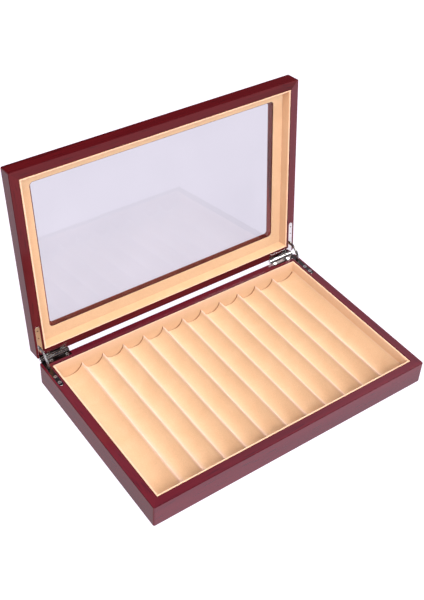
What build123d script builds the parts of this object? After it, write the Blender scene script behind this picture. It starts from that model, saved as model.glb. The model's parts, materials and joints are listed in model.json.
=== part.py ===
from build123d import *
import math
import os

# A wooden display case for twelve pens: a tray of round-bottomed grooves under a hinged lid with a
# glass window. Millimetres, +Z up, +X to the right, the front at -Y. The origin is the centre of the
# underside. The lid is modelled closed and then turned to its open stop, which is the rest pose.

# ---- Case ----
CASE_WIDTH = 320.0  # X, outside
CASE_DEPTH = 206.4  # Y, outside
RIM_Z = 26.0  # top of the base walls
LID_HEIGHT = 15.4
OPEN_ANGLE = 96.0  # lid angle at its open stop
WALL = 9.3  # every wall but the lid's back rail
LID_BACK_WALL = 8.0
RIM_GAP = 0.3  # between the two rims when the lid is shut
CORNER_ROUND = 1.8  # outer upright edges
FACE_ROUND = 0.5  # outer edges of the rims and of the top and bottom faces
RIM_BEVEL = 0.4  # inner edges of the rims

# ---- Base floor ----
FELT_THICK = 0.6
FELT_INSET = 2.0
FLOOR_THICK = 3.0
FLOOR_LAP = 4.0  # how far the floor board runs into its rabbet
FLOOR_TOP = FELT_THICK + FLOOR_THICK

# ---- Velvet-covered lining strips ----
LINING_THICK = 1.6
LINING_GAP = 0.3  # the shadow line between wood and lining
LINING_ROUND = 0.6

# ---- Grooved insert ----
GROOVE_PITCH = 24.0
INNER_GROOVES = 10  # of equal width; the two end grooves are wider
GROOVE_R = 11.2
END_GROOVE_R = 14.8
GROOVE_BOTTOM_Z = 5.0
RIDGE_TOP_Z = 15.8
RIDGE_ROUND = 0.7
RIDGE_HALF = GROOVE_PITCH / 2 - GROOVE_R
COVER_THICK = 0.4
INSERT_BACK_GAP = 0.5
INSERT_FRONT_GAP = 0.2
INSERT_SIDE_GAP = 0.4
CORE_LAYERS = {"lower": (FLOOR_TOP, 5.4), "middle": (5.4, 9.0), "upper": (9.0, RIDGE_TOP_Z - COVER_THICK)}

# ---- Lid window, depths measured from the lid's rim plane ----
MAT_DEPTH = 11.2
MAT_THICK = 1.2
MAT_CUT_X, MAT_CUT_Y = (-137.4, 137.4), (-81.2, 81.2)  # the mat's cut-out
MAT_CORNER_R = 4.0
MAT_EDGE_ROUND = 0.5
WINDOW_X, WINDOW_Y = (-135.8, 132.6), (-79.8, 77.1)  # the opening in the top panel, a little off centre
WINDOW_CORNER_R = 3.0
WINDOW_EDGE_ROUND = 0.4
GLASS_HALF_X, GLASS_HALF_Y, GLASS_THICK = 140.8, 84.8, 1.6
GLASS_CORNER_R = 2.0
GLASS_PLAY = 0.2
PANEL_DEPTH = MAT_DEPTH + MAT_THICK
PANEL_LAP = 2.0  # top panel into the rails' rabbet

# ---- Corner hinges ----
HINGE_SETBACK = 2.8  # hinge axis behind the back faces
LEAF_THICK = 1.2
LEAF_BEVEL = 0.2  # upper edges of the plate
LEAF_LEG_X = 155.4  # middle of the leg along the side wall
LEAF_LEG_WIDTH = 5.1
LEAF_LEG_LENGTH = 37.9  # from the back face
LEAF_BACK_DEPTH = 5.6  # leg along the back wall
LEAF_BACK_INSET = 0.1
LEAF_INNER_ROUND = 1.2
HINGE_X = (126.5, 157.5)  # the barrel's two ends
KNUCKLES = 5
KNUCKLE_GAP = 0.2
BARREL_R = 2.45
PIN_R = 1.0
PIN_HEAD_R, PIN_HEAD_LENGTH = 1.6, 0.6
FIXED_HOLE_PLAY = 0.02  # pin in the base leaf
TURNING_HOLE_PLAY = 0.06  # pin in the lid leaf

# ---- Stay arms, curved about the hinge axis ----
STAY_R = (12.2, 15.4)
STAY_THICK = 1.3
STAY_END_ROUND = 1.3
STAY_PIN_R, STAY_PIN_LENGTH = 0.5, 3.0
STAY_TAIL_DEG = 3.2  # arm beyond its stop pin
STOP_CLEARANCE = 0.06
POCKET_WIDTH = 3.6
POCKET_PLAY = 0.6
POCKET_END_DEG = 3.5
LEAF_SLOT_WIDTH = 2.0
LEAF_SLOT_PLAY = 0.4

# ---- Hinge screws ----
SCREW_HEAD_R, SCREW_HEAD_HEIGHT = 1.9, 1.0
SCREW_R, SCREW_LENGTH, SCREW_TIP = 0.85, 7.0, 1.6
SCREW_TIP_R = 0.15
RECESS_LENGTH, RECESS_WIDTH, RECESS_DEPTH = 2.3, 0.45, 0.5
SIDE_SCREWS = (24.1, 32.8)  # from the back face
BACK_SCREWS = (11.9, 29.6)  # from the side face
BACK_SCREW_INSET = 2.7  # from the back face

HALF_W, HALF_D = CASE_WIDTH / 2, CASE_DEPTH / 2
AXIS_Y = HALF_D + HINGE_SETBACK
AXIS_Z = RIM_Z + RIM_GAP / 2
LID_RIM_Z = RIM_Z + RIM_GAP
LID_TOP_Z = LID_RIM_Z + LID_HEIGHT
INNER_X, INNER_Y = HALF_W - WALL, HALF_D - WALL
LID_INNER_BACK = HALF_D - LID_BACK_WALL
HINGE_LINE = Axis((0, AXIS_Y, AXIS_Z), (1, 0, 0))
HINGE_MIRROR = Plane.XY.offset(AXIS_Z)


def block(x, y, z):
    """A box from low to high on each axis."""
    middle = [(low + high) / 2 for low, high in (x, y, z)]
    size = [high - low for low, high in (x, y, z)]
    return Pos(*middle) * Box(*size)


def rod_x(radius, x, y, z):
    """A cylinder along X between the two values of x."""
    return Pos((x[0] + x[1]) / 2, y, z) * Rot(0, 90, 0) * Cylinder(radius, x[1] - x[0])


def rod_y(radius, x, y, z):
    """A cylinder along Y between the two values of y."""
    return Pos(x, (y[0] + y[1]) / 2, z) * Rot(90, 0, 0) * Cylinder(radius, y[1] - y[0])


def rounded_slab(x, y, radius, z):
    """A flat slab with rounded upright edges."""
    return fillet(block(x, y, z).edges().filter_by(Axis.Z), radius)


def opened(shape):
    """Turns a lid piece from shut to its open stop."""
    return shape.rotate(HINGE_LINE, -OPEN_ANGLE)


# ---- Walls ----
def frame_ring(z, hollow_y, rim_side):
    """The four walls as one ring. rim_side is 1 when the rim is the upper face, else -1."""
    outer = block((-HALF_W, HALF_W), (-HALF_D, HALF_D), z)
    outer = fillet(outer.edges().filter_by(Axis.Z), CORNER_ROUND)
    ends = outer.faces().filter_by(Axis.Z)
    outer = fillet(ends.edges(), FACE_ROUND)
    ring = outer - block((-INNER_X, INNER_X), hollow_y, z)
    rim = ring.faces().filter_by(Axis.Z).sort_by(Axis.Z)[-1 if rim_side > 0 else 0]
    return chamfer(rim.inner_wires()[0].edges(), RIM_BEVEL)


def mitred(ring, z, hollow_y):
    """Cuts a ring along the planes through its outer and inner corners."""
    outer = [(-HALF_W, -HALF_D), (HALF_W, -HALF_D), (HALF_W, HALF_D), (-HALF_W, HALF_D)]
    inner = [(math.copysign(INNER_X, x), hollow_y[0] if y < 0 else hollow_y[1]) for x, y in outer]
    pieces = {}
    for index, side in enumerate(("front", "right", "back", "left")):
        after = (index + 1) % len(outer)
        plan = make_face(Polyline(outer[index], outer[after], inner[after], inner[index], close=True))
        pieces[side] = ring & extrude(Pos(0, 0, z[0]) * plan, z[1] - z[0])
    return pieces


def base_walls():
    z, hollow_y = (FELT_THICK, RIM_Z), (-INNER_Y, INNER_Y)
    ring = frame_ring(z, hollow_y, 1)
    ring -= floor_board()
    for cut in both_sides(hinge_cuts()):
        ring -= cut
    return mitred(ring, z, hollow_y)


def lid_rails():
    z, hollow_y = (LID_RIM_Z, LID_TOP_Z), (-INNER_Y, LID_INNER_BACK)
    ring = frame_ring(z, hollow_y, -1)
    ring -= panel_blank()
    for cut in both_sides(hinge_cuts()):
        ring -= mirror(cut, HINGE_MIRROR)
    return mitred(ring, z, hollow_y)


# ---- Base floor, felt and insert ----
def floor_board():
    x, y = INNER_X + FLOOR_LAP, INNER_Y + FLOOR_LAP
    return block((-x, x), (-y, y), (FELT_THICK, FLOOR_TOP))


def felt_pad():
    x, y = HALF_W - FELT_INSET, HALF_D - FELT_INSET
    return rounded_slab((-x, x), (-y, y), CORNER_ROUND, (0, FELT_THICK))


def insert_limits():
    """The grooved insert's X and Y limits, between the lining strips."""
    x = INNER_X - LINING_GAP - LINING_THICK - INSERT_SIDE_GAP
    y = INNER_Y - LINING_GAP - LINING_THICK
    return (-x, x), (-y + INSERT_FRONT_GAP, y - INSERT_BACK_GAP)


def groove_tools(extra):
    """One cylinder for each groove, its radius larger than the finished groove's by extra."""
    x, y = insert_limits()
    run = (y[0] - 1, y[1] + 1)
    tools = []
    for index in range(INNER_GROOVES):
        middle = (index - (INNER_GROOVES - 1) / 2) * GROOVE_PITCH
        tools.append(rod_y(GROOVE_R + extra, middle, run, GROOVE_BOTTOM_Z + GROOVE_R))
    last_ridge = INNER_GROOVES / 2 * GROOVE_PITCH
    middle = (last_ridge + RIDGE_HALF + x[1] + INSERT_SIDE_GAP) / 2
    for side in (-1, 1):
        tools.append(rod_y(END_GROOVE_R + extra, side * middle, run, GROOVE_BOTTOM_Z + END_GROOVE_R))
    return tools


def grooved(top, extra):
    x, y = insert_limits()
    return block(x, y, (FLOOR_TOP, top)) - groove_tools(extra)


def groove_core():
    """The board under the velvet: three layers glued together, with the grooves milled through them."""
    x, y = insert_limits()
    whole = grooved(RIDGE_TOP_Z - COVER_THICK, COVER_THICK)
    return {layer: whole & block(x, y, z) for layer, z in CORE_LAYERS.items()}


def groove_cover():
    """The velvet skin over the core, with rounded ridges."""
    whole = grooved(RIDGE_TOP_Z, 0)
    crests = whole.faces().filter_by(Axis.Z).group_by(Axis.Z)[-1]
    crest_edges = crests.edges().filter_by(Axis.Y)
    return fillet(crest_edges, RIDGE_ROUND) - grooved(RIDGE_TOP_Z - COVER_THICK, COVER_THICK)


# ---- Lining strips ----
def lining_strips(z, hollow_y, rim_side):
    """Four strips just inside a ring: front and back run through, the sides stand between them."""
    out_x = INNER_X - LINING_GAP
    front, back = hollow_y[0] + LINING_GAP, hollow_y[1] - LINING_GAP
    in_x = out_x - LINING_THICK
    between = (front + LINING_THICK, back - LINING_THICK)
    strips = {
        "front": block((-out_x, out_x), (front, between[0]), z),
        "back": block((-out_x, out_x), (between[1], back), z),
        "left": block((-out_x, -in_x), between, z),
        "right": block((in_x, out_x), between, z),
    }
    inward = {"front": (Axis.Y, -1), "back": (Axis.Y, 0), "left": (Axis.X, -1), "right": (Axis.X, 0)}
    for side, (axis, which) in inward.items():
        strip = strips[side]
        level = strip.edges().group_by(Axis.Z)[-1 if rim_side > 0 else 0]
        strips[side] = fillet(level.sort_by(axis)[which], LINING_ROUND)
    return strips


# ---- Lid window ----
def panel_blank():
    """The top panel before its window is cut."""
    x = INNER_X + PANEL_LAP
    y = (-INNER_Y - PANEL_LAP, LID_INNER_BACK + PANEL_LAP)
    return block((-x, x), y, (LID_RIM_Z + PANEL_DEPTH, LID_TOP_Z))


def glass_slab(play):
    x, y = GLASS_HALF_X + play, GLASS_HALF_Y + play
    z = LID_RIM_Z + PANEL_DEPTH
    return rounded_slab((-x, x), (-y, y), GLASS_CORNER_R, (z, z + GLASS_THICK))


def top_panel():
    window = rounded_slab(WINDOW_X, WINDOW_Y, WINDOW_CORNER_R, (LID_RIM_Z, LID_TOP_Z + 1))
    panel = panel_blank() - window - glass_slab(GLASS_PLAY)
    outer_edges = panel.faces().sort_by(Axis.Z)[-1].inner_wires()[0].edges()
    return fillet(outer_edges, WINDOW_EDGE_ROUND)


def window_mat():
    """The velvet-covered card frame on the inner side of the glass."""
    z = (LID_RIM_Z + MAT_DEPTH, LID_RIM_Z + PANEL_DEPTH)
    x = INNER_X - LINING_GAP
    board = block((-x, x), (-INNER_Y + LINING_GAP, LID_INNER_BACK - LINING_GAP), z)
    board -= rounded_slab(MAT_CUT_X, MAT_CUT_Y, MAT_CORNER_R, (z[0] - 1, z[1] + 1))
    return fillet(board.faces().sort_by(Axis.Z)[0].inner_wires()[0].edges(), MAT_EDGE_ROUND)


# ---- Hinges: everything below is the right-hand hinge's lower half, mirrored for the others ----
def both_sides(shapes):
    return shapes + [mirror(shape, Plane.YZ) for shape in shapes]


def leaf_blank():
    """The L-shaped plate, flush with the rim: one leg on the side wall, one on the back wall."""
    left, right = LEAF_LEG_X - LEAF_LEG_WIDTH / 2, LEAF_LEG_X + LEAF_LEG_WIDTH / 2
    back, front = HALF_D - LEAF_BACK_INSET, HALF_D - LEAF_LEG_LENGTH + LEAF_LEG_WIDTH / 2
    z = (RIM_Z - LEAF_THICK, RIM_Z)
    side_leg = block((left, right), (front, back), z)
    back_leg = block((HINGE_X[0], right), (HALF_D - LEAF_BACK_DEPTH, back), z)
    tip = Pos(LEAF_LEG_X, front, (z[0] + z[1]) / 2) * Cylinder(LEAF_LEG_WIDTH / 2, LEAF_THICK)
    plate = side_leg + back_leg + tip
    corner = plate.edges().filter_by(Axis.Z).sort_by_distance((left, HALF_D - LEAF_BACK_DEPTH, RIM_Z))[0]
    return fillet(corner, LEAF_INNER_ROUND)


def screw_places():
    side = [(LEAF_LEG_X, HALF_D - inset) for inset in SIDE_SCREWS]
    back = [(HALF_W - inset, HALF_D - BACK_SCREW_INSET) for inset in BACK_SCREWS]
    return side + back


def screw_blank():
    """A countersunk wood screw pointing down, its head's face at the origin."""
    top = (Align.CENTER, Align.CENTER, Align.MAX)
    head = Cone(SCREW_R, SCREW_HEAD_R, SCREW_HEAD_HEIGHT, align=top)
    shank = Pos(0, 0, -SCREW_HEAD_HEIGHT) * Cylinder(SCREW_R, SCREW_LENGTH, align=top)
    tip = Pos(0, 0, -SCREW_HEAD_HEIGHT - SCREW_LENGTH) * Cone(SCREW_TIP_R, SCREW_R, SCREW_TIP, align=top)
    return head + shank + tip


def placed_screws(screw):
    return [Pos(x, y, RIM_Z) * screw for x, y in screw_places()]


def finished_screw():
    """The screw with its cross recess."""
    recess_z = (-RECESS_DEPTH, RECESS_DEPTH)
    long, wide = (-RECESS_LENGTH / 2, RECESS_LENGTH / 2), (-RECESS_WIDTH / 2, RECESS_WIDTH / 2)
    return screw_blank() - block(long, wide, recess_z) - block(wide, long, recess_z)


def arc_bar(radii, width, from_deg, to_deg):
    """A flat bar bent about the hinge axis. The angle is 0 in the rim plane and rises with the lid."""
    start, sweep = 180 - to_deg, to_deg - from_deg
    outer = CenterArc((AXIS_Y, AXIS_Z), radii[1], start, sweep)
    inner = CenterArc((AXIS_Y, AXIS_Z), radii[0], start, sweep)
    outline = [outer, inner, Line(outer @ 0, inner @ 0), Line(outer @ 1, inner @ 1)]
    face = make_face(Plane.YZ * Curve(outline))
    return Pos(LEAF_LEG_X - width / 2, 0, 0) * extrude(face, width, dir=(1, 0, 0))


def stop_deg():
    """How far below the rim plane a stop pin sits when it meets its leaf's underside."""
    below = RIM_GAP / 2 + LEAF_THICK + STAY_PIN_R + STOP_CLEARANCE
    return math.degrees(math.asin(below / (sum(STAY_R) / 2)))


def hinge_cuts():
    """What a base wall loses to one hinge: the leaf's housing, the stay's pocket and the screws."""
    housing = leaf_blank() + block(
        (HINGE_X[0], LEAF_LEG_X + LEAF_LEG_WIDTH / 2),
        (HALF_D - LEAF_BACK_DEPTH, HALF_D + 1),
        (RIM_Z - LEAF_THICK, RIM_Z + 1),
    )
    deepest = stop_deg() + STAY_TAIL_DEG + OPEN_ANGLE / 2 + POCKET_END_DEG
    radii = (STAY_R[0] - POCKET_PLAY, STAY_R[1] + POCKET_PLAY)
    pocket = arc_bar(radii, POCKET_WIDTH, -deepest, 4)
    return [housing, pocket] + placed_screws(screw_blank())


def knuckle_spans(first):
    """The X spans of every second knuckle, from the first one's index."""
    pitch = (HINGE_X[1] - HINGE_X[0]) / KNUCKLES
    spans = []
    for index in range(first, KNUCKLES, 2):
        low, high = HINGE_X[0] + index * pitch, HINGE_X[0] + (index + 1) * pitch
        inner_low = low if index == 0 else low + KNUCKLE_GAP / 2
        inner_high = high if index == KNUCKLES - 1 else high - KNUCKLE_GAP / 2
        spans.append((inner_low, inner_high))
    return spans


def hinge_leaf(first_knuckle, hole_play):
    leaf = leaf_blank()
    leaf = chamfer(leaf.faces().sort_by(Axis.Z)[-1].edges(), LEAF_BEVEL)
    for span in knuckle_spans(first_knuckle):
        web = block(span, (HALF_D - 1, AXIS_Y), (RIM_Z - LEAF_THICK, RIM_Z))
        leaf += web + rod_x(BARREL_R, span, AXIS_Y, AXIS_Z)
    slot_y = (AXIS_Y - STAY_R[1] - LEAF_SLOT_PLAY, AXIS_Y - STAY_R[0] + LEAF_SLOT_PLAY)
    slot_x = (LEAF_LEG_X - LEAF_SLOT_WIDTH / 2, LEAF_LEG_X + LEAF_SLOT_WIDTH / 2)
    leaf -= block(slot_x, slot_y, (RIM_Z - LEAF_THICK - 1, RIM_Z + 1))
    leaf -= rod_x(PIN_R + hole_play, (HINGE_X[0] - 1, HINGE_X[1] + 1), AXIS_Y, AXIS_Z)
    for screw in placed_screws(screw_blank()):
        leaf -= screw
    return leaf


def hinge_pin():
    """The pin through all five knuckles, with a domed head at each end."""
    pin = rod_x(PIN_R, HINGE_X, AXIS_Y, AXIS_Z)
    for end, way in ((HINGE_X[0], -1), (HINGE_X[1], 1)):
        span = sorted((end, end + way * PIN_HEAD_LENGTH))
        head = rod_x(PIN_HEAD_R, span, AXIS_Y, AXIS_Z)
        rim = head.edges().filter_by(GeomType.CIRCLE).sort_by(Axis.X)[0 if way < 0 else -1]
        pin += fillet(rim, PIN_HEAD_LENGTH * 0.8)
    return pin


def stay_pins():
    """The two stop pins, one at each end of the arm, beyond the leaves."""
    middle_r = sum(STAY_R) / 2
    x = (LEAF_LEG_X - STAY_PIN_LENGTH / 2, LEAF_LEG_X + STAY_PIN_LENGTH / 2)
    pins = []
    for angle in (-stop_deg(), OPEN_ANGLE + stop_deg()):
        y = AXIS_Y - middle_r * math.cos(math.radians(angle))
        z = AXIS_Z + middle_r * math.sin(math.radians(angle))
        pins.append(rod_x(STAY_PIN_R, x, y, z))
    return pins


def stay_arm():
    tail = stop_deg() + STAY_TAIL_DEG
    arm = arc_bar(STAY_R, STAY_THICK, -tail, OPEN_ANGLE + tail)
    arm = fillet(arm.edges().filter_by(Axis.X), STAY_END_ROUND)
    for pin in stay_pins():
        arm -= pin
    return arm


# ---- The whole case ----
def build_base():
    nodes = {f"base_{side}_wall": wall for side, wall in base_walls().items()}
    strips = lining_strips((FLOOR_TOP, RIM_Z), (-INNER_Y, INNER_Y), 1)
    nodes.update({f"base_lining_{side}": strip for side, strip in strips.items()})
    nodes["base_bottom_panel"] = floor_board()
    nodes["base_felt"] = felt_pad()
    nodes.update({f"groove_core_{layer}": boards for layer, boards in groove_core().items()})
    nodes["groove_cover"] = groove_cover()
    nodes["base_hinge_screws"] = Compound(both_sides(placed_screws(finished_screw())))
    return nodes


def build_lid():
    nodes = {f"lid_{side}_rail": rail for side, rail in lid_rails().items()}
    hollow_y = (-INNER_Y, LID_INNER_BACK)
    strips = lining_strips((LID_RIM_Z, LID_RIM_Z + MAT_DEPTH), hollow_y, -1)
    nodes.update({f"lid_lining_{side}": strip for side, strip in strips.items()})
    nodes["lid_top_panel"] = top_panel()
    nodes["window_glass"] = glass_slab(0)
    nodes["window_mat"] = window_mat()
    screws = [mirror(screw, HINGE_MIRROR) for screw in placed_screws(finished_screw())]
    nodes["lid_hinge_screws"] = Compound(both_sides(screws))
    return {node: opened(shape) for node, shape in nodes.items()}


def build_hinges():
    right = {
        "base_leaf": hinge_leaf(0, FIXED_HOLE_PLAY),
        "pin": hinge_pin(),
        "lid_leaf": opened(mirror(hinge_leaf(1, TURNING_HOLE_PLAY), HINGE_MIRROR)),
        "stay": stay_arm(),
        "stay_pins": Compound(stay_pins()),
    }
    nodes = {f"hinge_right_{piece}": shape for piece, shape in right.items()}
    nodes.update({f"hinge_left_{piece}": mirror(shape, Plane.YZ) for piece, shape in right.items()})
    return nodes


os.makedirs("parts", exist_ok=True)
for node, shape in {**build_base(), **build_lid(), **build_hinges()}.items():
    export_step(shape, f"parts/{node}.step")
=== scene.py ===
import json
import math

import bmesh
import bpy
from mathutils import Matrix, Vector, noise


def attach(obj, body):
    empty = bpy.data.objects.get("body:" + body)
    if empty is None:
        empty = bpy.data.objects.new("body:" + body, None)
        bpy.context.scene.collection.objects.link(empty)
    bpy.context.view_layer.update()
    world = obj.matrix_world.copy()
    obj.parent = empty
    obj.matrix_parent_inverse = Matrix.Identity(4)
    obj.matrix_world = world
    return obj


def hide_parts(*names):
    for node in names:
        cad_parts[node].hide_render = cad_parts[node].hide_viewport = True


# The looks of a pen display case: lacquered wood, velvet linings and grooves, a glass window and
# nickel-plated corner hinges. Metres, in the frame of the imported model. Pieces of the lid are built as
# if it were shut and then turned to its open stop about the hinge line. Plain colours are linear RGB.

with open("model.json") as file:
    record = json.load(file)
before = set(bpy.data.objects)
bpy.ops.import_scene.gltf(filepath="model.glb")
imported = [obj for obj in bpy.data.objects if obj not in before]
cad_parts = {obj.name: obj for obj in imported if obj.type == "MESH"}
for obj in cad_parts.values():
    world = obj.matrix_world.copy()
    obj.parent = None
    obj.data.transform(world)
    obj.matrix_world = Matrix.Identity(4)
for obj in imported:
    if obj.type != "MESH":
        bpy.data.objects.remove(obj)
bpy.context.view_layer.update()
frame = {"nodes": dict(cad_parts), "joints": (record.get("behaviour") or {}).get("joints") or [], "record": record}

MM = 0.001
LID_HINGE = next(j for j in frame["joints"] if j["name"] == "lid_hinge")
HINGE_POINT = Vector(LID_HINGE["pos_m"])
OPEN_ANGLE = math.radians(LID_HINGE["range_deg"][1])
LID_NODES = set(frame["record"]["behaviour"]["bodies"]["lid"])

# ---- Camera ----
CAMERA_PLACE = Vector((-0.4373, -0.5335, 0.7166))
CAMERA_FORWARD = Vector((0.4691, 0.5994, -0.6485))
CAMERA_RIGHT = Vector((0.8111, -0.5830, 0.0479))
SENSOR_WIDTH, LENS_MM = 36.0, 59.08
LENS_SHIFT = (-0.0188, -0.0283)
CLIP_RANGE = (0.05, 50.0)

# ---- Grooves, as in the model ----
GROOVE_PITCH = 24.0 * MM
INNER_GROOVES = 10
GROOVE_R = 11.2 * MM
END_GROOVE_R = 14.8 * MM
GROOVE_BOTTOM = 5.0 * MM
SIDE_GAP = 0.4 * MM  # between the insert and the side linings

# ---- Window mat cut-out ----
MAT_HALF = (137.4 * MM, 81.2 * MM)
MAT_CORNER_R = 4.0 * MM


# ---------------------------------------------------------------- Places
def turned(angle):
    """The turn about the hinge line, positive to shut the lid."""
    there, back = Matrix.Translation(HINGE_POINT), Matrix.Translation(-HINGE_POINT)
    return there @ Matrix.Rotation(angle, 4, "X") @ back


OPENED, SHUT = turned(-OPEN_ANGLE), turned(OPEN_ANGLE)
RIM_FACING = {"base": Vector((0, 0, 1)), "lid": OPENED.to_3x3() @ Vector((0, 0, -1))}


def shut_box(node):
    """A node's lowest and highest corner with the lid shut."""
    turn = SHUT if node in LID_NODES else Matrix.Identity(4)
    points = [turn @ v.co for v in frame["nodes"][node].data.vertices]
    return (Vector([min(p[i] for p in points) for i in range(3)]),
            Vector([max(p[i] for p in points) for i in range(3)]))


# ---------------------------------------------------------------- Node graphs
MIX_SHARE, MIX_FIRST, MIX_SECOND, MIX_RESULT = 0, 6, 7, 2  # the colour sockets of a Mix node


class Graph:
    """The node tree of a material or world. Every value may be a socket or plain, and each way of
    adding nodes except add itself gives the socket of its result."""

    def __init__(self, owner):
        owner.use_nodes = True
        self.owner = owner
        self.tree = owner.node_tree

    def feed(self, node, values):
        """Sets or links a node's inputs, by name or number."""
        for key, value in values.items():
            socket = node.inputs[key]
            if isinstance(value, bpy.types.NodeSocket):
                self.tree.links.new(value, socket)
            else:
                socket.default_value = (*value, 1) if socket.type == "RGBA" else value

    def add(self, kind, values=None, **settings):
        node = self.tree.nodes.new(kind)
        for key, value in settings.items():
            setattr(node, key, value)
        self.feed(node, values or {})
        return node

    def surface(self, values):
        """Feeds the material's Principled shader and gives the material."""
        self.feed(self.tree.nodes["Principled BSDF"], values)
        return self.owner

    def place(self, turn_deg=(0, 0, 0), scale=(1, 1, 1)):
        """Coordinates fixed to the piece, turned and then stretched."""
        fixed = self.add("ShaderNodeTexCoord").outputs["Object"]
        rotation = [math.radians(angle) for angle in turn_deg]
        turn = self.add("ShaderNodeMapping", {"Vector": fixed, "Rotation": rotation})
        stretch = self.add("ShaderNodeMapping", {"Vector": turn.outputs["Vector"], "Scale": scale})
        return stretch.outputs["Vector"]

    def noise(self, place, waves, detail=4.0, rough=0.5, distortion=0.0):
        """A value from 0 to 1 that varies over the piece, with this many waves in a unit of place."""
        values = {"Vector": place, "Scale": waves, "Detail": detail, "Roughness": rough}
        field = self.add("ShaderNodeTexNoise", {**values, "Distortion": distortion})
        return field.outputs["Fac"]

    def ramp(self, share, stops):
        """A colour between stops of (share, colour)."""
        node = self.add("ShaderNodeValToRGB", {"Fac": share})
        elements = node.color_ramp.elements
        while len(elements) < len(stops):
            elements.new(0.5)
        for element, (place, colour) in zip(elements, stops):
            element.position = place
            element.color = (*colour, 1)
        return node.outputs["Color"]

    def between(self, value, start, end, low=0.0, high=1.0):
        """low while the value is under start, high when it is over end, and evenly between."""
        values = {"Value": value, "From Min": start, "From Max": end, "To Min": low, "To Max": high}
        return self.add("ShaderNodeMapRange", values).outputs["Result"]

    def calculate(self, operation, first, second):
        return self.add("ShaderNodeMath", {0: first, 1: second}, operation=operation).outputs[0]

    def mix(self, share, first, second, mode="MIX"):
        """A mix of two colours."""
        values = {MIX_SHARE: share, MIX_FIRST: first, MIX_SECOND: second}
        return self.add("ShaderNodeMix", values, data_type="RGBA", blend_type=mode).outputs[MIX_RESULT]

    def facing(self, direction):
        """The cosine between the surface's normal and a direction."""
        normal = self.add("ShaderNodeTexCoord").outputs["Normal"]
        product = self.add("ShaderNodeVectorMath", {0: normal, 1: direction}, operation="DOT_PRODUCT")
        return product.outputs["Value"]

    def height(self):
        """The height above the floor, with the lid open."""
        return self.add("ShaderNodeSeparateXYZ", {"Vector": self.place()}).outputs["Z"]

    def bump(self, height, strength, depth, under=None):
        """A normal pushed about by a height, on top of another normal where one is given."""
        values = {"Height": height, "Strength": strength, "Distance": depth}
        if under is not None:
            values["Normal"] = under
        return self.add("ShaderNodeBump", values).outputs["Normal"]


def new_graph(name):
    return Graph(bpy.data.materials.new(name))


# ---------------------------------------------------------------- Lacquered wood
WOOD_DARK = (0.060, 0.0022, 0.0034)
WOOD_MIDDLE = (0.090, 0.0036, 0.0056)
WOOD_LIGHT = (0.124, 0.0070, 0.0095)
WOOD_EDGE = (0.050, 0.0040, 0.0060)  # darker along the rounded edges between the faces and the rims
WOOD_PAINTED_LIGHT = (0.23, 0.045, 0.036)  # painted light round the window, behind the glass
PORE_COLOUR, PORE_SHARE = (0.018, 0.0012, 0.0025), 0.55
PORE_LEVELS = (0.60, 0.72)  # of the noise, where a pore starts and where it is deep
GRAIN_STRETCH = (2.0, 42.0)  # along and across the grain
PORE_STRETCH = (28.0, 420.0)
SMEAR_WAVES, PEEL_WAVES = 26.0, 220.0  # a metre
WOOD_ROUGH = (0.30, 0.42)

# Cosines between a surface and its body's rim, where one kind of surface passes into the next
INSIDE_PANEL = (-0.6, -0.3)
THIN_LACQUER = (0.06, 0.4)
FACE_TO_EDGE = (0.2, 0.5)
REFLECTION_ON_RIM = (0.8, 0.95)
EDGE_TO_RIM = (0.85, 0.97)
LACQUER_ON_RIM = (0.9, 0.99)

LONG_FACE_COAT, SIDE_FACE_COAT, EDGE_COAT = 0.62, 0.42, 0.02
RIM_COAT = {"base": 0.68, "lid": 0.15}
# Painted reflection, added to the rims, to the faces of the base's long walls and to the lid's right rail
RIM_REFLECTION_PAINT = {"base": (0.016, 0.004, 0.010), "lid": (0.0, 0.006, 0.0065)}
LONG_WALL_REFLECTION_PAINT = (0.004, 0.0, 0.007)
RIGHT_RAIL_REFLECTION_PAINT = (0.040, 0.026, 0.032)


def along_grain(graph, body, along_y, stretch):
    """Coordinates stretched along the grain, which follows the piece with the lid shut."""
    turn = (math.degrees(OPEN_ANGLE) if body == "lid" else 0, 0, 0)
    along, across = stretch
    return graph.place(turn, (across, along, across) if along_y else (along, across, across))


def stained_grain(graph, body, along_y):
    """The wood's colour and where its pores are."""
    grain_place = along_grain(graph, body, along_y, GRAIN_STRETCH)
    bands = graph.noise(grain_place, 1.1, detail=5.0, rough=0.55, distortion=0.6)
    figure = graph.ramp(bands, [(0.28, WOOD_DARK), (0.52, WOOD_MIDDLE), (0.78, WOOD_LIGHT)])
    specks = graph.noise(along_grain(graph, body, along_y, PORE_STRETCH), 1.6, detail=2.0)
    pores = graph.between(specks, *PORE_LEVELS)
    return graph.mix(graph.calculate("MULTIPLY", pores, PORE_SHARE), figure, PORE_COLOUR), pores


def lacquer_share(graph, body, face_coat):
    """Full lacquer on the outer faces, rubbed thin over the edges towards the rims, which have a
    share of their own."""
    facing = graph.facing(RIM_FACING[body])
    off_rim = graph.between(facing, *THIN_LACQUER, face_coat, EDGE_COAT)
    values = {"Factor": graph.between(facing, *LACQUER_ON_RIM), "A": off_rim, "B": RIM_COAT[body]}
    return graph.add("ShaderNodeMix", values, data_type="FLOAT").outputs["Result"]


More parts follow.
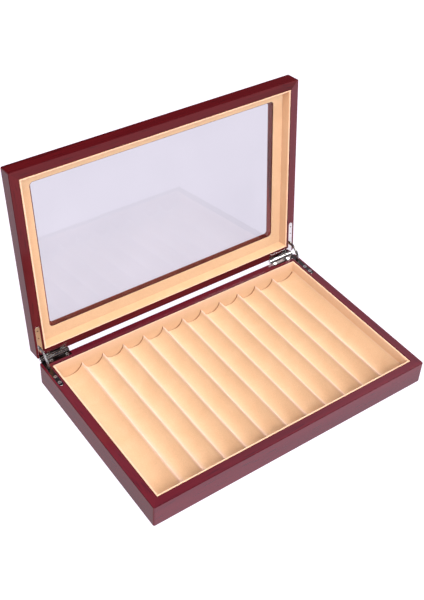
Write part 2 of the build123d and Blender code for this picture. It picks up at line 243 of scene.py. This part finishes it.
def lacquered_wood(name, body, along_y=False, rim_reflection=None):
    """Red-brown stained wood under satin lacquer, its grain along X or Y. Walls and rails have a
    painted reflection on their rims. The window panel has none, and painted light on its inside."""
    graph = new_graph(name)
    colour, pores = stained_grain(graph, body, along_y)
    facing = graph.facing(RIM_FACING[body])
    # Painted light on the window panel's inside and its reveals, behind the glass
    if rim_reflection is None:
        colour = graph.mix(graph.between(facing, *INSIDE_PANEL), colour, WOOD_PAINTED_LIGHT)
    else:
        # Painted reflection on the faces of the base's long walls, then on every rim
        if body == "base" and not along_y:
            faces = graph.between(facing, *FACE_TO_EDGE, 1.0, 0.0)
            colour = graph.mix(faces, colour, LONG_WALL_REFLECTION_PAINT, "ADD")
        colour = graph.mix(graph.between(facing, *REFLECTION_ON_RIM), colour, rim_reflection, "ADD")
    past_face = graph.between(facing, *FACE_TO_EDGE)
    before_rim = graph.between(facing, *EDGE_TO_RIM, 1.0, 0.0)
    colour = graph.mix(graph.calculate("MULTIPLY", past_face, before_rim), colour, WOOD_EDGE)
    plain = graph.place()
    smear = graph.noise(plain, SMEAR_WAVES, detail=3.0)
    peel = graph.bump(graph.noise(plain, PEEL_WAVES, detail=2.0), 0.05, 0.4 * MM)
    return graph.surface({
        "Base Color": colour,
        "Roughness": graph.between(smear, 0.0, 1.0, *WOOD_ROUGH),
        "Normal": graph.bump(pores, -0.12, 0.2 * MM, peel),
        "Specular IOR Level": 0.0,
        "Coat Weight": lacquer_share(graph, body, SIDE_FACE_COAT if along_y else LONG_FACE_COAT),
        "Coat Roughness": 0.10,
        "Coat IOR": 1.7,
    })


# ---------------------------------------------------------------- Velvet
VELVET_SHADE = (0.70, 0.445, 0.256)
VELVET_BODY = (0.745, 0.490, 0.292)
VELVET_LIGHT = (0.80, 0.550, 0.342)
PATCH_SHARE = 0.42  # of the brushed patches over the body colour
BRUSHED_WAVES, PILE_WAVES, CREASE_WAVES = 34.0, 1500.0, 120.0  # a metre
PILE_LEVELS, PILE_SHADES = (0.30, 0.70), (0.90, 1.05)
VELVET_ROUGH = (0.80, 0.95)
FOLD_HIGHLIGHT = (0.85, 0.61, 0.45)  # painted highlight along the linings' folded edges
RIDGE_HIGHLIGHT = (0.80, 0.555, 0.415)  # painted highlight along the grooves' ridges and on the flanks lit from the right
MAT_PAINTED_LIGHT = (0.85, 0.615, 0.385)  # painted light in a strip of the mat, in the shade of the lid's front lining

# Tones that multiply the velvet's colour: small shifts of hue, and painted shade as darker copies on the lid's
# linings, the base's back lining and the mat
GROOVE_TONE = (0.925, 0.920, 0.925)
LINING_TONE = {"base": (1.02, 0.95, 0.88), "lid": (0.94, 0.86, 0.81)}
BACK_LINING_SHADE_TONE = (0.81, 0.755, 0.74)
MAT_TONE = (0.825, 0.805, 0.815)

# Heights over which painted light makes the velvet paler, with the lid open
RIDGE_HIGHLIGHT_HEIGHTS = (13.4 * MM, 15.4 * MM)
LINING_LIGHT_FADE = (15.0 * MM, 26.0 * MM)
MAT_LIGHT_STRIP = (203.0 * MM, 212.0 * MM)

FOLD_TURN = (0.35, 0.8)  # cosines to the rim over which a lining folds
# Flanks that lean this way get painted highlight, as the key lamp stands on the right
LEANING_RIGHT, LEAN_TURN = (0.94, 0.0, 0.342), (0.55, 0.95)
FLANK_SHARE, FADE_SHARE = 0.8, 0.55


def greater(graph, first, second, second_share):
    """The greater of two values, the second reduced to a share."""
    return graph.calculate("MAXIMUM", first, graph.calculate("MULTIPLY", second, second_share))


def ridge_highlight(graph):
    """Painted highlight on the ridges, and less so on the flanks that lean to the right, towards the key lamp."""
    flanks = graph.between(graph.facing(LEANING_RIGHT), *LEAN_TURN)
    return greater(graph, graph.between(graph.height(), *RIDGE_HIGHLIGHT_HEIGHTS), flanks, FLANK_SHARE)


def base_lining_light(graph):
    """Painted highlight on the folded edge, and painted light fading down the strip."""
    fold = graph.between(graph.facing(RIM_FACING["base"]), *FOLD_TURN)
    return greater(graph, fold, graph.between(graph.height(), *LINING_LIGHT_FADE), FADE_SHARE)


def lid_lining_highlight(graph):
    """Painted highlight on the folded edge."""
    return graph.between(graph.facing(RIM_FACING["lid"]), *FOLD_TURN)


def mat_light(graph):
    """Painted light on the strip in the shade of the lid's front lining."""
    return graph.between(graph.height(), *MAT_LIGHT_STRIP)


def velvet(name, tone, painted_light, painted_colour=FOLD_HIGHLIGHT):
    """Short-pile velvet: soft brushed patches, a fine pile, a sheen, and painted highlight and painted light where
    painted_light says.
    """
    graph = new_graph(name)
    plain = graph.place()
    brushed = graph.noise(plain, BRUSHED_WAVES, detail=3.0, rough=0.55, distortion=0.8)
    patches = graph.ramp(brushed, [(0.30, VELVET_SHADE), (0.50, VELVET_BODY), (0.72, VELVET_LIGHT)])
    colour = graph.mix(PATCH_SHARE, VELVET_BODY, patches)
    # Painted highlight and painted light, where the mask says
    colour = graph.mix(painted_light(graph), colour, painted_colour)
    colour = graph.mix(1.0, colour, tone, "MULTIPLY")
    pile = graph.noise(plain, PILE_WAVES, detail=2.0, rough=0.6)
    specks = graph.between(pile, *PILE_LEVELS, *PILE_SHADES)
    creases = graph.bump(graph.noise(plain, CREASE_WAVES, detail=3.0), 0.10, 0.8 * MM)
    return graph.surface({
        "Base Color": graph.mix(1.0, colour, specks, "MULTIPLY"),
        "Roughness": graph.between(brushed, 0.0, 1.0, *VELVET_ROUGH),
        "Normal": graph.bump(pile, 0.35, 0.25 * MM, creases),
        "Specular IOR Level": 0.15,
        "Diffuse Roughness": 0.8,
        "Sheen Weight": 1.0,
        "Sheen Roughness": 0.30,
        "Sheen Tint": (0.94, 0.95, 1.0),
    })


# ---------------------------------------------------------------- Metal, glass, felt and board
NICKEL, SCREW_NICKEL, ARM_NICKEL = (0.74, 0.725, 0.71), (0.78, 0.765, 0.75), (0.36, 0.35, 0.34)
PLATE_ROUGH, SCREW_ROUGH, ARM_ROUGH = (0.07, 0.17), (0.14, 0.30), (0.16, 0.30)
DULL_SHARE, DULL_LEVELS = 0.82, (0.3, 0.7)
DULL_WAVES = 90.0  # a metre
POLISH_WAVES = (300.0, 2600.0, 2600.0)  # a metre, along X, Y and Z
CREVICE_SIZE = 1.2 * MM
CREVICE_OPEN = (0.35, 0.85)
# Tarnish and painted shade in the crevices
TARNISH_AND_SHADE = (0.07, 0.045, 0.035)
# Painted shade on the base leaves' flats that look up, under the open lid
PAINTED_SHADE_FLAT = (0.095, 0.080, 0.078)
FLAT_TURN = (0.96, 0.99)


def nickel(name, tone, rough, shaded_flats=False):
    """Bright plated metal with faint polishing lines, duller patches, and tarnish and painted shade in its
    crevices and, with shaded_flats, painted shade on the flats that look up."""
    graph = new_graph(name)
    patches = graph.noise(graph.place(), DULL_WAVES, detail=3.0)
    colour = graph.ramp(patches, [(0.25, [DULL_SHARE * c for c in tone]), (0.75, tone)])
    # Tarnish and painted shade in the crevices, found by ambient occlusion
    crevice = graph.add("ShaderNodeAmbientOcclusion", {"Distance": CREVICE_SIZE}, samples=8)
    colour = graph.mix(graph.between(crevice.outputs["AO"], *CREVICE_OPEN), TARNISH_AND_SHADE, colour)
    # Painted shade on the flats that look up
    if shaded_flats:
        colour = graph.mix(graph.between(graph.facing((0, 0, 1)), *FLAT_TURN), colour, PAINTED_SHADE_FLAT)
    lines = graph.noise(graph.place(scale=POLISH_WAVES), 1.0, detail=2.0)
    return graph.surface({
        "Base Color": colour,
        "Metallic": 1.0,
        "Roughness": graph.between(patches, *DULL_LEVELS, *rough),
        "Normal": graph.bump(lines, 0.03, 0.08 * MM),
    })


GLASS_DARK, GLASS_LIGHT = (0.585, 0.594, 0.618), (0.620, 0.627, 0.650)
GLASS_ROUGH = (0.0, 0.012)


def window_glass():
    """A faintly clouded pane."""
    graph = new_graph("window_glass_clear")
    cloud = graph.noise(graph.place(), 14.0, detail=2.0)
    return graph.surface({
        "Base Color": graph.ramp(cloud, [(0.2, GLASS_DARK), (0.8, GLASS_LIGHT)]),
        "Roughness": graph.between(cloud, 0.0, 1.0, *GLASS_ROUGH),
        "Transmission Weight": 1.0,
        "IOR": 1.38,
    })


FELT_DARK, FELT_LIGHT = (0.020, 0.008, 0.009), (0.060, 0.022, 0.024)
BOTTOM_BOARD = ((0.20, 0.13, 0.08), (0.34, 0.24, 0.15))
INSERT_BOARD = ((0.28, 0.12, 0.05), (0.40, 0.18, 0.08))


def felt():
    """Thin dark red felt."""
    graph = new_graph("felt_dark")
    fibres = graph.noise(graph.place(), 900.0, rough=0.7, distortion=1.5)
    return graph.surface({
        "Base Color": graph.ramp(fibres, [(0.3, FELT_DARK), (0.7, FELT_LIGHT)]),
        "Roughness": 0.95,
        "Normal": graph.bump(fibres, 0.6, 0.3 * MM),
        "Sheen Weight": 0.3,
    })


def board(name, dark, light):
    """Plain pressed board with small flecks."""
    graph = new_graph(name)
    flecks = graph.noise(graph.place(), 700.0, rough=0.6)
    return graph.surface({
        "Base Color": graph.ramp(flecks, [(0.3, dark), (0.7, light)]),
        "Roughness": 0.9,
        "Normal": graph.bump(flecks, 0.3, 0.2 * MM),
    })


FLOOR_DARK, FLOOR_LIGHT = (0.13, 0.13, 0.13), (0.15, 0.15, 0.15)
FLOOR_GLOW, FLOOR_GLOW_COLOUR = 1.05, (1.0, 0.93, 1.06)


def floor_material():
    """A white floor that glows as a light table does, so that it stays white in the shade."""
    graph = new_graph("studio_floor")
    cloud = graph.noise(graph.place(), 3.0, detail=2.0)
    return graph.surface({
        "Base Color": graph.ramp(cloud, [(0.3, FLOOR_DARK), (0.7, FLOOR_LIGHT)]),
        "Roughness": 0.9,
        "Specular IOR Level": 0.1,
        "Emission Color": FLOOR_GLOW_COLOUR,
        "Emission Strength": FLOOR_GLOW,
    })


# ---------------------------------------------------------------- Mesh helpers
WELD_GAP = 1e-7
SHARP_ANGLE = math.radians(38)


def wobble(point, size, height):
    """A smooth, fixed unevenness of the given height, its waves about size long."""
    return height * noise.noise(point / size)


def finish_piece(name, mesh_builder, material, node):
    """Makes an object of a bmesh built with the lid shut, and lets it stand for a CAD node."""
    bmesh.ops.remove_doubles(mesh_builder, verts=mesh_builder.verts, dist=WELD_GAP)
    bmesh.ops.recalc_face_normals(mesh_builder, faces=mesh_builder.faces)
    for face in mesh_builder.faces:
        face.smooth = True
    for edge in mesh_builder.edges:
        edge.smooth = edge.calc_face_angle(0) < SHARP_ANGLE
    mesh = bpy.data.meshes.new(name)
    mesh_builder.to_mesh(mesh)
    mesh_builder.free()
    if node in LID_NODES:
        mesh.transform(OPENED)
    mesh.materials.append(material)
    piece = bpy.data.objects.new(name, mesh)
    bpy.context.scene.collection.objects.link(piece)
    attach(piece, "lid" if node in LID_NODES else "base")
    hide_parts(node)


def bridged(mesh_builder, loops, closed_across=False):
    """Faces between neighbouring loops of the same number of points. Each loop is closed."""
    rings = [[mesh_builder.verts.new(p) for p in loop] for loop in loops]
    pairs = list(zip(rings, rings[1:]))
    if closed_across:
        pairs.append((rings[-1], rings[0]))
    for first, second in pairs:
        for i in range(len(first)):
            j = (i + 1) % len(first)
            mesh_builder.faces.new((first[i], first[j], second[j], second[i]))
    return rings


def bridged_and_capped(mesh_builder, loops):
    rings = bridged(mesh_builder, loops)
    for ring in (rings[0], rings[-1]):
        mesh_builder.faces.new(ring)


def arc_points(centre, radius, start_deg, end_deg, steps):
    points = []
    for i in range(steps + 1):
        a = math.radians(start_deg + (end_deg - start_deg) * i / steps)
        points.append((centre[0] + radius * math.cos(a), centre[1] + radius * math.sin(a)))
    return points


# ---------------------------------------------------------------- Lining strips
LIP_INNER_R = 1.0 * MM
LIP_OUTER_R = 0.45 * MM
FOOT_R = 0.15 * MM
LINING_STEP = 3.0 * MM
FOOT_STEPS, FACE_STEPS, INNER_LIP_STEPS, OUTER_LIP_STEPS = 2, 8, 6, 4
FACE_SHARE = 0.6  # of the strip's thickness; what lies beyond it is the velvet's face
LINING_CROWN = 0.108 * MM  # how far the velvet bellies out between lip and foot
LINING_WAVE = (22.0 * MM, 0.10 * MM)  # length and height


def lining_profile(thick, height):
    """The strip's section: the velvet face at x = thick, wrapped over the lip at y = height."""
    points = [(0.0, 0.0), (thick - FOOT_R, 0.0)]
    points += arc_points((thick - FOOT_R, FOOT_R), FOOT_R, -90, 0, FOOT_STEPS)[1:]
    top = height - LIP_INNER_R
    for i in range(1, FACE_STEPS):
        points.append((thick, FOOT_R + (top - FOOT_R) * i / FACE_STEPS))
    points += arc_points((thick - LIP_INNER_R, top), LIP_INNER_R, 0, 90, INNER_LIP_STEPS)
    points += arc_points((LIP_OUTER_R, height - LIP_OUTER_R), LIP_OUTER_R, 90, 180, OUTER_LIP_STEPS)
    return points


def lining_strip(node, material):
    """A card strip wrapped in velvet, its face towards the middle of the case."""
    low, high = shut_box(node)
    size = high - low
    run, across = (0, 1) if size.x > size.y else (1, 0)
    thick, height, length = size[across], size.z, size[run]
    inwards = 1 if low[across] + high[across] < 0 else -1
    steps = max(2, round(length / LINING_STEP))
    loops = []
    for i in range(steps + 1):
        loop = []
        for u, w in lining_profile(thick, height):
            point = Vector((0, 0, 0))
            point[run] = low[run] + length * i / steps
            point[across] = low[across] + u if inwards > 0 else high[across] - u
            point.z = high.z - w if node in LID_NODES else low.z + w
            if u > thick * FACE_SHARE and 0 < w < height:
                flatness = 1 - math.sin(math.pi * w / height)
                point[across] += inwards * min(0.0, wobble(point, *LINING_WAVE) - LINING_CROWN * flatness)
            loop.append(point)
        loops.append(loop)
    builder = bmesh.new()
    bridged_and_capped(builder, loops)
    finish_piece(f"velvet_{node}", builder, material, node)


# ---------------------------------------------------------------- Grooved velvet
ARC_STEPS, CREST_STEPS, GROOVE_ROWS = 26, 10, 92
ROW_CROWDING = 0.02  # how much closer the rows stand near the grooves' two ends
SIDE_REACH = 0.3 * MM  # the velvet swells past the insert's sides towards the linings
UNDERSIDE_DEPTH = 0.198 * MM
RIDGE_SWAY = 0.30 * MM  # how far the ridges wander to the side
SWAY_WAVES = 14.0  # a metre, along a ridge
SWAY_STRIDE = 3.1  # between neighbouring ridges in the noise, so that each goes its own way
HOLLOW = (16.0 * MM, 0.16 * MM)  # length and depth of the pile's shallow hollows
SWAY_LAYER, HOLLOW_LAYER = 2.0, 0.3  # of the noise
END_ROUND, END_CURL = 0.9 * MM, 0.20 * MM  # the velvet curls down over this length at both ends
END_SETBACK = 1.1 * MM  # of its back end, on the flanks that face left
SETBACK_LEAN = (0.1, 0.6)  # how far a flank leans where the setback starts and where it is full


def groove_circles(half_width):
    """(x, z, radius) of each groove's circle, left to right."""
    circles = []
    for index in range(INNER_GROOVES):
        circles.append(((index - (INNER_GROOVES - 1) / 2) * GROOVE_PITCH, GROOVE_R))
    last_ridge = INNER_GROOVES / 2 * GROOVE_PITCH
    ridge_half = GROOVE_PITCH / 2 - GROOVE_R
    end_x = (last_ridge + ridge_half + half_width + SIDE_GAP) / 2
    circles = [(-end_x, END_GROOVE_R)] + circles + [(end_x, END_GROOVE_R)]
    return [(x, GROOVE_BOTTOM + radius, radius) for x, radius in circles]


def crest(left, right, top):
    """Centre and radius of the round that touches two groove circles and the height of the ridge tops."""
    (x1, z1, r1), (x2, z2, r2) = left, right
    d1, d2 = z1 - top, z2 - top
    # (x - x1)^2 = r1^2 - d1^2 + 2 (r1 - d1) r, and the same on the right with equal slope in r
    x = (x2 * x2 - x1 * x1 - (r2 * r2 - d2 * d2) + (r1 * r1 - d1 * d1)) / (2 * (x2 - x1))
    radius = ((x - x1) ** 2 - r1 * r1 + d1 * d1) / (2 * (r1 - d1))
    return x, top - radius, radius


def bearing(start, end):
    """The direction from one circle's centre to another's, in degrees."""
    return math.degrees(math.atan2(end[1] - start[1], end[0] - start[0]))


def groove_profile(half_width, top):
    """(x, z) points of the velvet's upper face, from near the left lining to near the right one."""
    circles = groove_circles(half_width)
    crests = [crest(a, b, top) for a, b in zip(circles, circles[1:])]
    side = half_width + SIDE_REACH
    points = []
    for index, (x, z, radius) in enumerate(circles):
        if index == 0:
            start = 180 + math.degrees(math.acos(min(1, (x + side) / radius)))
        else:
            start = bearing(circles[index], crests[index - 1]) % 360
        if index == len(crests):
            end = 360 - math.degrees(math.acos(min(1, (side - x) / radius)))
        else:
            end = bearing(circles[index], crests[index]) % 360
        points += arc_points((x, z), radius, start, end, ARC_STEPS)
        if index < len(crests):
            crest_x, crest_z, round_r = crests[index]
            first = bearing(crests[index], circles[index]) % 360
            last = bearing(crests[index], circles[index + 1])
            points += arc_points((crest_x, crest_z), round_r, first, last, CREST_STEPS)[1:-1]
    return points


def profile_normals(points):
    """Unit normals of a left-to-right profile, pointing up out of the velvet."""
    normals = []
    for i in range(len(points)):
        before, after = points[max(0, i - 1)], points[min(len(points) - 1, i + 1)]
        dx, dz = after[0] - before[0], after[1] - before[1]
        length = math.hypot(dx, dz) or 1.0
        normals.append((-dz / length, dx / length))
    return normals


def row_places(low, high):
    """Y of each row of points, closer together towards both ends."""
    shares = [i / GROOVE_ROWS for i in range(GROOVE_ROWS + 1)]
    eased = [t - ROW_CROWDING * math.sin(2 * math.pi * t) for t in shares]
    return [low + (high - low) * t for t in eased]


def share_between(value, start, end):
    return min(1.0, max(0.0, (value - start) / (end - start)))


def velvet_points(place, normal, y, low, high):
    """The upper and the under point where a place of the profile meets a row."""
    (x, z), (nx, nz) = place, normal
    on_ridge = Vector((round(x / GROOVE_PITCH) * SWAY_STRIDE, y * SWAY_WAVES, SWAY_LAYER))
    swayed = x + wobble(on_ridge, 1.0, RIDGE_SWAY) * share_between(z, GROOVE_BOTTOM, high.z) ** 3
    edge = share_between(min(y - low.y, high.y - y), 0.0, END_ROUND)
    curl = -END_CURL * (1 - math.sqrt(edge * (2 - edge)))
    lift = curl + min(0.0, wobble(Vector((x, y, HOLLOW_LAYER)), *HOLLOW))
    cut_y = min(y, high.y - END_SETBACK * share_between(-nx, *SETBACK_LEAN))
    pair = []
    for off in (lift, -UNDERSIDE_DEPTH):
        point_x = min(high.x + SIDE_REACH, max(low.x - SIDE_REACH, swayed + nx * off))
        pair.append((point_x, cut_y, z + nz * off))
    return pair


def groove_velvet(material):
    """The velvet over the grooved insert: a thin skin with soft, slightly uneven ridges."""
    low, high = shut_box("groove_cover")
    profile = groove_profile(high.x, high.z)
    normals = profile_normals(profile)
    builder = bmesh.new()
    upper, lower = [], []
    for y in row_places(low.y, high.y):
        pairs = [velvet_points(place, normal, y, low, high) for place, normal in zip(profile, normals)]
        upper.append([builder.verts.new(over) for over, _ in pairs])
        lower.append([builder.verts.new(under) for _, under in pairs])
    last = len(profile) - 1
    for i in range(GROOVE_ROWS):
        for j in range(last):
            builder.faces.new((upper[i][j], upper[i][j + 1], upper[i + 1][j + 1], upper[i + 1][j]))
            builder.faces.new((lower[i][j + 1], lower[i][j], lower[i + 1][j], lower[i + 1][j + 1]))
        for j in (0, last):
            builder.faces.new((upper[i][j], upper[i + 1][j], lower[i + 1][j], lower[i][j]))
    for i in (0, GROOVE_ROWS):
        for j in range(last):
            builder.faces.new((upper[i][j], lower[i][j], lower[i][j + 1], upper[i][j + 1]))
    finish_piece("groove_velvet", builder, material, "groove_cover")


# ---------------------------------------------------------------- Window mat and felt
SIDE_STEPS, CORNER_STEPS = 40, 8
MAT_OUTER_R, MAT_LIP_R = 0.4 * MM, 0.58 * MM
MAT_RINGS, MAT_LIP_STEPS = 7, 8
MAT_WAVE = (30.0 * MM, 0.14 * MM)  # length and height
FELT_CORNER_R, FELT_EDGE = 1.5 * MM, 0.25 * MM


def rounded_loop(low, high, radius, z):
    """Points round a rectangle with rounded corners, always the same number of them."""
    points = []
    corners = [(high[0], low[1], -90), (high[0], high[1], 0), (low[0], high[1], 90), (low[0], low[1], 180)]
    for x, y, start in corners:
        centre_x = x - radius if x > (low[0] + high[0]) / 2 else x + radius
        centre_y = y - radius if y > (low[1] + high[1]) / 2 else y + radius
        points += arc_points((centre_x, centre_y), radius, start, start + 90, CORNER_STEPS)
    loop = []
    for i, point in enumerate(points):
        here = Vector((*point, z))
        loop.append(here)
        if (i + 1) % (CORNER_STEPS + 1) == 0:
            after = Vector((*points[(i + 1) % len(points)], z))
            loop += [here.lerp(after, k / SIDE_STEPS) for k in range(1, SIDE_STEPS)]
    return loop


def window_mat(material):
    """The velvet-covered frame inside the glass, its cut edge wrapped and rounded."""
    low, high = shut_box("window_mat")
    cut_low, cut_high = (-MAT_HALF[0], -MAT_HALF[1]), MAT_HALF
    face, back = low.z, high.z
    loops = [rounded_loop((low.x, low.y), (high.x, high.y), MAT_OUTER_R, back)]
    for i in range(MAT_RINGS):
        t = i / (MAT_RINGS - 1)
        corner_r = MAT_OUTER_R + (MAT_CORNER_R + MAT_LIP_R - MAT_OUTER_R) * t
        ring_low = [a + (b - MAT_LIP_R - a) * t for a, b in zip((low.x, low.y), cut_low)]
        ring_high = [a + (b + MAT_LIP_R - a) * t for a, b in zip((high.x, high.y), cut_high)]
        loops.append(rounded_loop(ring_low, ring_high, corner_r, face))
    for loop in loops[1:MAT_RINGS]:
        for point in loop:
            point.z += max(0.0, wobble(point, *MAT_WAVE))
    for i in range(1, MAT_LIP_STEPS + 1):
        a = math.pi * i / MAT_LIP_STEPS
        out = MAT_LIP_R * (1 - math.sin(a))
        z = min(back, face + MAT_LIP_R * (1 - math.cos(a)))
        ring_low = [v - out for v in cut_low]
        ring_high = [v + out for v in cut_high]
        loops.append(rounded_loop(ring_low, ring_high, MAT_CORNER_R + out, z))
    builder = bmesh.new()
    bridged(builder, loops, closed_across=True)
    finish_piece("velvet_window_mat", builder, material, "window_mat")


def felt_pad(material):
    """The felt under the base, with a small chamfer along its lower edge."""
    low, high = shut_box("base_felt")
    loops = []
    for inset, z in ((FELT_EDGE, low.z), (0.0, low.z + FELT_EDGE), (0.0, high.z)):
        corner_low, corner_high = (low.x + inset, low.y + inset), (high.x - inset, high.y - inset)
        loops.append(rounded_loop(corner_low, corner_high, FELT_CORNER_R - inset, z))
    builder = bmesh.new()
    bridged_and_capped(builder, loops)
    finish_piece("felt_pad", builder, material, "base_felt")


# ---------------------------------------------------------------- CAD nodes that stay
SCREW_EDGE = 0.2 * MM
SCREW_WELD = 0.002 * MM
SCREW_SHARP_ANGLE = math.radians(40)


def soften_screws(node):
    """Rounds the screws' sharp edges a little, so that they catch the light."""
    piece = frame["nodes"][node]
    weld = piece.modifiers.new("weld", "WELD")
    weld.merge_threshold = SCREW_WELD
    bevel = piece.modifiers.new("bevel", "BEVEL")
    bevel.width = SCREW_EDGE
    bevel.segments = 2
    bevel.limit_method = "ANGLE"
    bevel.angle_limit = SCREW_SHARP_ANGLE
    bevel.harden_normals = True


def paint(node, material):
    piece = frame["nodes"][node]
    piece.data.materials.clear()
    piece.data.materials.append(material)


def dress_wood():
    """One wood for each wall and rail, because their painted reflections differ, and one for the panel."""
    for node in frame["nodes"]:
        if node.endswith(("_wall", "_rail")):
            body, side = node.split("_")[:2]
            reflection_paint = RIGHT_RAIL_REFLECTION_PAINT if node == "lid_right_rail" else RIM_REFLECTION_PAINT[body]
            paint(node, lacquered_wood(f"lacquered_{node}", body, side in ("left", "right"), reflection_paint))
    paint("lid_top_panel", lacquered_wood("lacquered_window_panel", "lid"))


def dress_hinges():
    """Bright plates, pins and screws, dull stays, and painted shade on the base leaves' flats."""
    plate = nickel("nickel_plate", NICKEL, PLATE_ROUGH)
    screw = nickel("nickel_screws", SCREW_NICKEL, SCREW_ROUGH)
    shaded_base_plate = nickel("nickel_base_plate_shaded", NICKEL, PLATE_ROUGH, shaded_flats=True)
    arm = nickel("nickel_arm", ARM_NICKEL, ARM_ROUGH)
    for node in frame["nodes"]:
        if "hinge_screws" in node:
            paint(node, screw)
            soften_screws(node)
        elif node.startswith("hinge_"):
            paint(node, shaded_base_plate if "base_leaf" in node else arm if node.endswith("_stay") else plate)


def dress_boards():
    """The bottom board and the layers of the grooved insert."""
    paint("base_bottom_panel", board("floor_board", *BOTTOM_BOARD))
    insert_board = board("insert_board", *INSERT_BOARD)
    for node in frame["nodes"]:
        if node.startswith("groove_core"):
            paint(node, insert_board)


def dress_glass():
    paint("window_glass", window_glass())
    frame["nodes"]["window_glass"].visible_shadow = False  # the lamps shine in through the pane


# ---------------------------------------------------------------- Stage
# (sine of the elevation, brightness)
SKY = (
    (-0.05, 0.80), (0.16, 0.45), (0.34, 0.03), (0.54, 0.03), (0.60, 0.30), (0.64, 0.38),
    (0.69, 0.56), (0.71, 0.56), (0.75, 0.33), (0.785, 0.17), (1.0, 0.17),
)
SKY_TINT = (1.0, 0.90, 1.10)
SKY_BEHIND = (0.05, 0.35)  # the Y over which the sky grows to its full brightness behind the case
SKY_AHEAD_SHARE = 0.2
FLOOR_HALF = 6.0

LAMP_TARGET = Vector((0, 0.05, 0.08))
LAMPS = {  # place, (width, height) and watts
    "fill": ((-1.3, -2.4, 3.4), (2.6, 2.6), 114),
    "front": ((-0.35, -2.05, 1.3), (1.2, 1.6), 43),
    "top": ((-0.35, -0.3, 2.3), (1.0, 1.6), 22),
    "key": ((2.6, -1.2, 3.1), (1.6, 1.6), 71),
    "far_right": ((1.45, 1.33, 1.78), (1.2, 1.2), 0.9),
}


def studio_sky():
    """A pale horizon, dark above it and pale again where the rims reflect it from behind the case."""
    world = bpy.data.worlds.new("studio")
    graph = Graph(world)
    direction = graph.add("ShaderNodeTexCoord").outputs["Generated"]
    parts = graph.add("ShaderNodeSeparateXYZ", {"Vector": direction})
    stops = [((place + 1) / 2, [bright * tint for tint in SKY_TINT]) for place, bright in SKY]
    graph.feed(graph.tree.nodes["Background"], {
        "Color": graph.ramp(graph.between(parts.outputs["Z"], -1.0, 1.0), stops),
        "Strength": graph.between(parts.outputs["Y"], *SKY_BEHIND, SKY_AHEAD_SHARE, 1.0),
    })
    bpy.context.scene.world = world


def add_camera():
    data = bpy.data.cameras.new("camera")
    data.lens = LENS_MM
    data.sensor_width = SENSOR_WIDTH
    data.shift_x, data.shift_y = LENS_SHIFT
    data.clip_start, data.clip_end = CLIP_RANGE
    camera = bpy.data.objects.new("camera", data)
    bpy.context.scene.collection.objects.link(camera)
    back = -CAMERA_FORWARD.normalized()
    up = back.cross(CAMERA_RIGHT).normalized()
    camera.rotation_euler = Matrix((up.cross(back), up, back)).transposed().to_euler()
    camera.location = CAMERA_PLACE
    bpy.context.scene.camera = camera


def add_lamp(name, place, size, power):
    """A rectangular softbox that faces the case."""
    data = bpy.data.lights.new(name, "AREA")
    data.shape = "RECTANGLE"
    data.size, data.size_y = size
    data.energy = power
    lamp = bpy.data.objects.new(name, data)
    bpy.context.scene.collection.objects.link(lamp)
    lamp.rotation_euler = (LAMP_TARGET - Vector(place)).to_track_quat("-Z", "Y").to_euler()
    lamp.location = place


def add_floor():
    builder = bmesh.new()
    bmesh.ops.create_grid(builder, x_segments=1, y_segments=1, size=FLOOR_HALF)
    mesh = bpy.data.meshes.new("floor")
    builder.to_mesh(mesh)
    builder.free()
    mesh.materials.append(floor_material())
    floor = bpy.data.objects.new("floor", mesh)
    bpy.context.scene.collection.objects.link(floor)


# ---------------------------------------------------------------- Build
add_camera()
add_floor()
studio_sky()
for name, (place, size, power) in LAMPS.items():
    add_lamp(name, place, size, power)
bpy.context.scene.view_settings.view_transform = "Standard"

dress_wood()
dress_hinges()
dress_glass()
dress_boards()
# Velvets with painted highlights on the ridges and folds, and painted light on the mat's strip and down the base's
# linings
groove_velvet(velvet("velvet_grooves", GROOVE_TONE, ridge_highlight, RIDGE_HIGHLIGHT))
window_mat(velvet("velvet_mat", MAT_TONE, mat_light, MAT_PAINTED_LIGHT))
felt_pad(felt())
for body, painted_light in (("base", base_lining_light), ("lid", lid_lining_highlight)):
    cloth = velvet(f"velvet_{body}_lining", LINING_TONE[body], painted_light)
    # The base's back lining is a darker copy of the lining velvet, painted shade
    shaded_back_cloth = velvet("velvet_back_lining_shaded", BACK_LINING_SHADE_TONE, painted_light) if body == "base" else cloth
    for lining in sorted(n for n in frame["nodes"] if n.startswith(f"{body}_lining_")):
        lining_strip(lining, shaded_back_cloth if lining.endswith("_back") else cloth)

bpy.context.view_layer.update()
